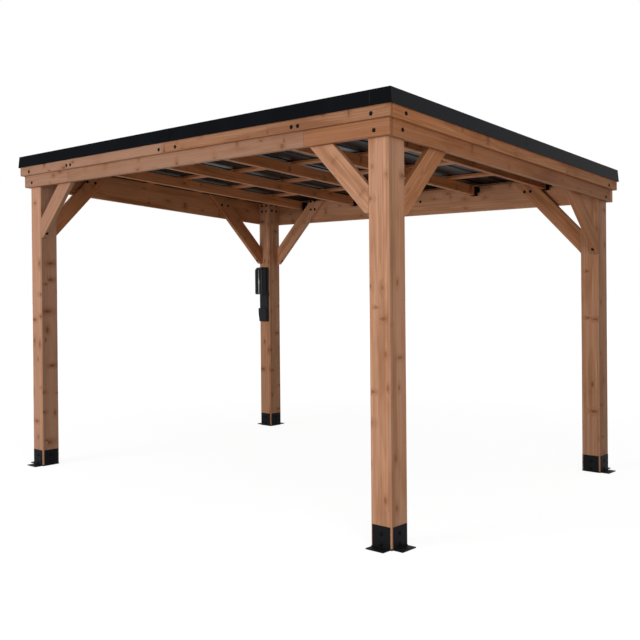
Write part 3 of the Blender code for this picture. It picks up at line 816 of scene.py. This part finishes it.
class GAZEBO_OT_trim(bpy.types.Operator):
    """Folded edge trim and its joint covers"""
    bl_idname = "gazebo.trim"
    bl_label = "Edge trim"

    def execute(self, context):
        coat = context.scene.gazebo_metal.trim
        # One coat in two copies that differ only in gloss, set for how light each trim looks: the
        # matt copy on the front and back trims, their joints and the corner wedges is painted
        # shade, and the satin copy on the side trims is painted sheen.
        trim_matt_painted_shade = shared_material("Matt dark powder-coated trim", powder_coat, coat, 0.5, 0.004)
        trim_satin_painted_sheen = shared_material("Satin dark powder-coated trim", powder_coat, coat, 0.5, 0.07)
        # The paler coat on the folded ends is a painted highlight, the light that the folds catch
        fold_painted_highlight = shared_material("Worn fold of the trim", powder_coat, "#242528", 0.45, 0.02)
        half_gap = SEAM_GAP / 2
        for node, (axis, _, seam) in TRIM_RUNS.items():
            for name, between in ((f"{node}_first_length", (axis, None, seam - half_gap)),
                                  (f"{node}_second_length", (axis, seam + half_gap, None))):
                add_piece(name, copy_shape(node, name, between), trim_satin_painted_sheen if axis else trim_matt_painted_shade,
                          (node,))
        dress_node("front_trim_joint", trim_matt_painted_shade)
        dress_node("back_trim_joint", trim_matt_painted_shade)
        add_piece("trim_corner_wedges", self.corner_wedges(), trim_matt_painted_shade)
        add_piece("trim_seam_folds", prism_mesh("trim_seam_folds", self.fold_strips()), fold_painted_highlight)
        return {"FINISHED"}

    def corner_wedges(self):
        """Folded wedges at the corners, where the flared legs of two trims part further down."""
        bm = bmesh.new()
        for side_x, side_y in CORNERS.values():
            low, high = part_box("front_trim" if side_y < 0 else "back_trim")
            end_x, out_y = high.x, max(-low.y, high.y)
            out_x, end_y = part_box("right_trim")[1].xy
            top = low.z + TRIM_DEPTH - 2 * FACE_GAP
            points = [(out_x - TRIM_FLARE, y, top) for y in (end_y, out_y - TRIM_FLARE)]
            points += [(x, y, low.z) for x in (end_x, out_x) for y in (end_y, out_y)]
            corners = [bm.verts.new((side_x * x, side_y * y, z)) for x, y, z in points]
            bmesh.ops.convex_hull(bm, input=corners)
        bmesh.ops.recalc_face_normals(bm, faces=bm.faces)
        return finished_mesh(bm, "trim_corner_wedges")

    def fold_strips(self):
        """The folded ends of the lengths, which stand a little proud of the trim's leg."""
        strips = []
        for node, (axis, side, seam) in TRIM_RUNS.items():
            low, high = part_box(node)
            lengthways, outward = Vector((0, 0, 0)), Vector((0, 0, 0))
            lengthways[axis], outward[1 - axis] = 1, side
            reach = outward.dot(low if side < 0 else high)
            top = high.z - ROOF_FALL * (seam - low.y) * lengthways.y
            start = lengthways * seam + outward * (reach - TRIM_FLARE) + Vector((0, 0, top))
            down = outward * TRIM_FLARE - Vector((0, 0, TRIM_DEPTH))
            skin = outward * FACE_GAP
            near = start + down * FOLD_START + skin
            far = near - lengthways * FOLD_WIDTH
            strips.append(([near, far, far + skin, near + skin], down * FOLD_RUN))
        return strips


class GAZEBO_OT_power_box(bpy.types.Operator):
    """Power box on the back left post"""
    bl_idname = "gazebo.power_box"
    bl_label = "Power box"

    def execute(self, context):
        plastic = context.scene.gazebo_metal.plastic
        cover = shared_material("Moulded black polycarbonate cover", moulded_plastic,
                                plastic, 0.25, 0.10)
        body = shared_material("Moulded dark grey polycarbonate box", moulded_plastic,
                               "#1A1A1F", 0.45, 0.10)
        polished = shared_material("Polished black polycarbonate", moulded_plastic,
                                   plastic, 0.12, 1.0)
        pin_and_painted_highlight = shared_material("Satin stainless steel pin", satin_steel)
        dress_node("power_box_cover", cover)
        dress_node("power_box_lower_housing", body)
        dress_node("power_box_body", body)
        # The pin's pale, evenly bright steel partly stands for the highlight down the cover's
        # rounded front: a painted highlight
        self.add_rod("power_box_hinge_pin", PIN_AND_PAINTED_HIGHLIGHT_X, PIN_AND_PAINTED_HIGHLIGHT_WIDTH, pin_and_painted_highlight, "black_steel")
        self.add_rod("power_box_cover_bead", COVER_BEAD_X, BEAD_WIDTH, polished, "black_plastic")
        return {"FINISHED"}

    def add_rod(self, name, x, width, material, slot):
        """A half-round rod down the cover's front."""
        low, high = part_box("power_box_cover")
        turns = [math.pi * step / ROD_SIDES for step in range(ROD_SIDES + 1)]
        outline = [(x + width / 2 * math.cos(turn), low.y - FACE_GAP - width / 2 * math.sin(turn),
                    low.z + width) for turn in turns]
        run = (0, 0, high.z - PIN_START - low.z - width)
        add_piece(name, prism_mesh(name, [(outline, run)], rounded=True), material)


# ---------------------------------------------------------------- fasteners

# Profile of a carriage bolt's domed head, as shares of its half width and of its height
DOME_PROFILE = ((1.0, 0.0), (1.0, 0.22), (0.90, 0.55), (0.62, 0.86), (0.30, 0.98))
DOME_SIDES = 16


def add_dome(bm, centre, outward, half_width, height):
    """Adds one domed head whose flat side lies at centre."""
    side = outward.orthogonal().normalized()
    up = outward.cross(side)
    turns = [2 * math.pi * step / DOME_SIDES for step in range(DOME_SIDES)]
    rings = [[bm.verts.new(centre + outward * height * rise + half_width * radius
                           * (side * math.cos(turn) + up * math.sin(turn))) for turn in turns]
             for radius, rise in DOME_PROFILE]
    tip = bm.verts.new(centre + outward * height)
    for lower, upper in zip(rings, rings[1:]):
        for a, b, c, d in zip(lower, lower[1:] + lower[:1], upper, upper[1:] + upper[:1]):
            bm.faces.new((a, b, d, c))
    last = rings[-1]
    for a, b in zip(last, last[1:] + last[:1]):
        bm.faces.new((a, b, tip))
    bm.faces.new(reversed(rings[0]))


def bolt_group(name, places):
    """One piece that holds every bolt head of a group. places lists (centre, outward direction)."""
    sizes = bpy.context.scene.gazebo_fasteners
    bm = bmesh.new()
    for centre, direction in places:
        outward = Vector(direction).normalized()
        add_dome(bm, Vector(centre) + outward * FACE_GAP, outward, sizes.head_width / 2,
                 sizes.head_height)
    bmesh.ops.recalc_face_normals(bm, faces=bm.faces)
    for face in bm.faces:
        face.smooth = len(face.verts) < DOME_SIDES
    bolt = shared_material("Black oxide bolt", powder_coat, "#0A0A0B", 0.5, 0.04)
    add_piece(name, finished_mesh(bm, name), bolt)


def bolt_at(x, y, rise, direction):
    """A bolt's centre on the sloping frame, and the way that its head faces."""
    return (x, y, rise_to_z(y, rise)), direction


class GAZEBO_OT_bolts(bpy.types.Operator):
    """Carriage bolts in the beams, fascias, braces, posts and shoes"""
    bl_idname = "gazebo.bolts"
    bl_label = "Bolts"

    def execute(self, context):
        fascia_y, beam_y = -FRONT_FASCIA[0].y, -FRONT_BEAM[0].y
        fascia_x, beam_x = RIGHT_FASCIA[1].x, RIGHT_BEAM[1].x
        corners_and_braces = [end * x for end in (-1, 1) for x in (CORNER_BOLT_X, *BRACE_BOLTS_X)]
        for name, side in (("front", -1), ("back", 1)):
            places = [bolt_at(x, side * fascia_y, FASCIA_BOLT_RISE, (0, side, 0))
                      for x in (*corners_and_braces, *JOINT_BOLTS_X)]
            places += [bolt_at(end * CORNER_BOLT_X, side * beam_y, BEAM_BOLT_RISE, (0, side, 0))
                       for end in (-1, 1)]
            bolt_group(f"{name}_face_bolts", places)
        for name, side in (("left", -1), ("right", 1)):
            places = [bolt_at(side * x, end * CORNER_BOLT_Y, rise + lift, (side, 0, 0))
                      for end, lift in SIDE_BOLT_LIFTS.items()
                      for x, rise in ((fascia_x, FASCIA_BOLT_RISE), (beam_x, BEAM_BOLT_RISE))]
            bolt_group(f"{name}_face_bolts", places)
        for corner, (side_x, side_y) in CORNERS.items():
            bolt_group(f"{corner}_inner_bolts", self.inner_places(side_x, side_y))
            bolt_group(f"{corner}_shoe_bolts", self.shoe_places(corner))
        places = [bolt_at(x, -side * FRONT_BEAM[1].y, FASCIA_BOLT_RISE, (0, -side, 0))
                  for side in (-1, 1) for x in JOINT_BOLTS_X]
        bolt_group("joint_inner_bolts", places)
        return {"FINISHED"}

    def inner_places(self, side_x, side_y):
        """Bolts on the inner faces of one post and of its two braces."""
        inner_x, inner_y = NEAR_POST[0].x, -NEAR_POST[1].y
        outer_x, outer_y = NEAR_POST[1].x, -NEAR_POST[0].y
        middle_x, middle_y = POST_MIDDLE.x, -POST_MIDDLE.y
        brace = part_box("front_right_brace_along_x")
        depth = brace[1].y - brace[0].y
        face_x, face_y = outer_x - depth, outer_y - depth
        along_x, along_y = (-side_x, 0, 0), (0, -side_y, 0)
        places = []
        for offset in (-POST_BOLT_HALF_SPACING, POST_BOLT_HALF_SPACING):
            places += [bolt_at(side_x * (middle_x + offset), side_y * inner_y, rise, along_y)
                       for rise in POST_BOLT_RISES_FACING_Y]
            places += [bolt_at(side_x * inner_x, side_y * (middle_y + offset), rise, along_x)
                       for rise in POST_BOLT_RISES_FACING_X]
        places += [bolt_at(side_x * (inner_x - out), side_y * face_y, rise, along_y)
                   for out in BRACE_BOLTS_FROM_POST for rise in BRACE_BOLT_RISES]
        places += [bolt_at(side_x * face_x, side_y * (inner_y - out), BRACE_ALONG_Y_BOLT_RISE,
                           along_x) for out in BRACE_ALONG_Y_BOLTS[side_y]]
        places.append(((side_x * (inner_x - FOOT_BOLT_FROM_POST), side_y * (face_y + depth / 2),
                        rise_to_z(side_y * outer_y, -FOOT_BOLT_DROP)), (-side_x, 0, -1)))
        places.append(((side_x * (face_x + depth / 2), side_y * (inner_y - FOOT_BOLT_FROM_POST),
                        rise_to_z(side_y * inner_y, -FOOT_BOLT_DROP)), (0, -side_y, -1)))
        return places

    def shoe_places(self, corner):
        """Two bolts through each of a shoe's four walls."""
        low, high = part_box(f"{corner}_post")
        middle = (low + high) / 2
        reach = (high.x - low.x) / 2 + SHOE_WALL_FACE
        return [((middle.x + step_x * reach, middle.y + step_y * reach, height),
                 (step_x, step_y, 0))
                for height in SHOE_BOLT_HEIGHTS
                for step_x, step_y in ((1, 0), (-1, 0), (0, 1), (0, -1))]


# ---------------------------------------------------------------- studio

# Camera that took the picture, worked out from the posts, feet and beams. Its turns are in radians
# and its sensor is in millimetres.
CAMERA_PLACE = (4.6578, -5.0667, 1.4173)
CAMERA_YAW = 0.7331
CAMERA_PITCH = -0.0047
CAMERA_ROLL = -0.0088
SENSOR_WIDTH = 36.0
FOCAL_PIXELS = 894.87
IMAGE_PIXELS = 640
HORIZON_ROW = 286.86

# Large round lamps, with their places and widths, and the point that they face
LAMPS = {"key": ((-2.4, -9.5, 2.6), 5.0), "fill": ((6.5, -4.6, 2.6), 3.5)}
LAMP_TARGET = (0, 0, 1.2)

# Floor. It glows to the camera, a little more from the nearer to the further distance of its fade.
FLOOR_RADIUS = 60.0
FLOOR_SIDES = 96
FLOOR_FADE = (2.5, 9.0)
FLOOR_GLOW = (0.90, 1.00)
WHITE = "#FFFFFF"


class GAZEBO_OT_studio(bpy.types.Operator):
    """Pale floor, soft light and the camera"""
    bl_idname = "gazebo.studio"
    bl_label = "Floor, light and camera"

    def execute(self, context):
        self.make_world(context.scene)
        self.make_floor()
        self.make_lamps(context.scene)
        self.make_camera(context.scene)
        context.scene.view_settings.view_transform = "Standard"
        return {"FINISHED"}

    def seen_directly(self, tree):
        """1 for rays that show the background: from the camera, or by way of a mirror or glass."""
        path = add_node(tree, "LightPath").node.outputs
        seen = add_node(tree, "Math", (path["Is Camera Ray"], path["Is Glossy Ray"]),
                        operation="MAXIMUM")
        return add_node(tree, "Math", (seen, path["Is Transmission Ray"]), operation="MAXIMUM")

    def make_world(self, scene):
        """White to the camera, and a softer light on the model."""
        world = bpy.data.worlds.new("Studio")
        world.use_nodes = True
        scene.world = world
        tree = world.node_tree
        shown = tree.nodes["Background"]
        shown.inputs["Color"].default_value = linear(WHITE)
        lighting = add_node(tree, "Background", (linear(WHITE), scene.gazebo_studio.sky))
        mix = add_node(tree, "MixShader", (self.seen_directly(tree), lighting, shown.outputs[0]))
        tree.links.new(mix, tree.nodes["World Output"].inputs["Surface"])

    def make_floor(self):
        """A round floor that is pale near the model and turns white further out."""
        bm = bmesh.new()
        bmesh.ops.create_circle(bm, cap_ends=True, segments=FLOOR_SIDES, radius=FLOOR_RADIUS)
        mesh = finished_mesh(bm, "studio_floor")
        floor = bpy.data.objects.new("studio_floor", mesh)
        bpy.context.scene.collection.objects.link(floor)
        floor.location.z = CAD_BOX[0].z - FACE_GAP
        material = bpy.data.materials.new("Pale studio floor")
        material.use_nodes = True
        tree = material.node_tree
        tree.nodes.remove(tree.nodes["Principled BSDF"])
        add = partial(add_node, tree)
        place = add("TexCoord", output="Object")
        reach = add("VectorMath", (place,), "Value", operation="LENGTH")
        strength = add("MapRange", (reach, *FLOOR_FADE, *FLOOR_GLOW), **SOFT)
        glow = add("Emission", (linear(WHITE), strength))
        paint = add("BsdfDiffuse", (linear("#818181"),))
        shown = add("AddShader", (glow, paint))
        lighting = add("BsdfDiffuse", (linear("#C4C2BF"),))
        mix = add("MixShader", (self.seen_directly(tree), lighting, shown))
        tree.links.new(mix, tree.nodes["Material Output"].inputs["Surface"])
        mesh.materials.append(material)

    def make_lamps(self, scene):
        """The key lamp in front and the fill lamp on the right."""
        for name, (place, width) in LAMPS.items():
            data = bpy.data.lights.new(f"{name}_lamp", "AREA")
            data.shape = "DISK"
            data.size = width
            data.energy = getattr(scene.gazebo_studio, name)
            lamp = bpy.data.objects.new(f"{name}_lamp", data)
            scene.collection.objects.link(lamp)
            lamp.location = place
            lamp.rotation_mode = "QUATERNION"
            aim = Vector(LAMP_TARGET) - lamp.location
            lamp.rotation_quaternion = aim.to_track_quat("-Z", "Y")

    def make_camera(self, scene):
        """The camera, turned by its roll, then its pitch from level, then its yaw from +Y."""
        data = bpy.data.cameras.new("camera")
        data.sensor_width = SENSOR_WIDTH
        data.lens = FOCAL_PIXELS / IMAGE_PIXELS * SENSOR_WIDTH
        data.shift_y = (HORIZON_ROW - IMAGE_PIXELS / 2) / IMAGE_PIXELS
        camera = bpy.data.objects.new("camera", data)
        scene.collection.objects.link(camera)
        camera.matrix_world = (
            Matrix.Translation(CAMERA_PLACE) @ Matrix.Rotation(CAMERA_YAW, 4, "Z")
            @ Matrix.Rotation(math.pi / 2 + CAMERA_PITCH, 4, "X")
            @ Matrix.Rotation(CAMERA_ROLL, 4, "Z"))
        scene.camera = camera


# ---------------------------------------------------------------- add-on


class GAZEBO_PT_looks(bpy.types.Panel):
    """Buttons and settings for the gazebo's looks"""
    bl_idname = "GAZEBO_PT_looks"
    bl_label = "Gazebo"
    bl_space_type = "VIEW_3D"
    bl_region_type = "UI"
    bl_category = "Gazebo"

    def draw(self, context):
        """A button for each operator and a field for each setting."""
        for operator in OPERATORS:
            self.layout.operator(operator.bl_idname)
        for group in SETTINGS:
            settings = getattr(context.scene, group)
            for name in settings.bl_rna.properties.keys():
                if name not in ("rna_type", "name"):
                    self.layout.prop(settings, name)


OPERATORS = (
    GAZEBO_OT_posts, GAZEBO_OT_beams, GAZEBO_OT_braces, GAZEBO_OT_rafters, GAZEBO_OT_steelwork,
    GAZEBO_OT_roof, GAZEBO_OT_trim, GAZEBO_OT_power_box, GAZEBO_OT_bolts, GAZEBO_OT_studio)
SETTINGS = {
    "gazebo_wood": WoodSettings,
    "gazebo_metal": MetalSettings,
    "gazebo_fasteners": FastenerSettings,
    "gazebo_studio": StudioSettings,
}


def register():
    """Registers the settings, the operators and the panel."""
    for item in (*SETTINGS.values(), *OPERATORS, GAZEBO_PT_looks):
        bpy.utils.register_class(item)
    for name, group in SETTINGS.items():
        setattr(bpy.types.Scene, name, bpy.props.PointerProperty(type=group))


def unregister():
    """Takes away what register added."""
    for name in SETTINGS:
        delattr(bpy.types.Scene, name)
    for item in (GAZEBO_PT_looks, *reversed(OPERATORS), *reversed(list(SETTINGS.values()))):
        bpy.utils.unregister_class(item)


def main():
    """Builds every piece and the stage."""
    register()
    bpy.ops.gazebo.posts()
    bpy.ops.gazebo.beams()
    bpy.ops.gazebo.braces()
    bpy.ops.gazebo.rafters()
    bpy.ops.gazebo.steelwork()
    bpy.ops.gazebo.roof()
    bpy.ops.gazebo.trim()
    bpy.ops.gazebo.power_box()
    bpy.ops.gazebo.bolts()
    bpy.ops.gazebo.studio()


if __name__ == "__main__":
    main()
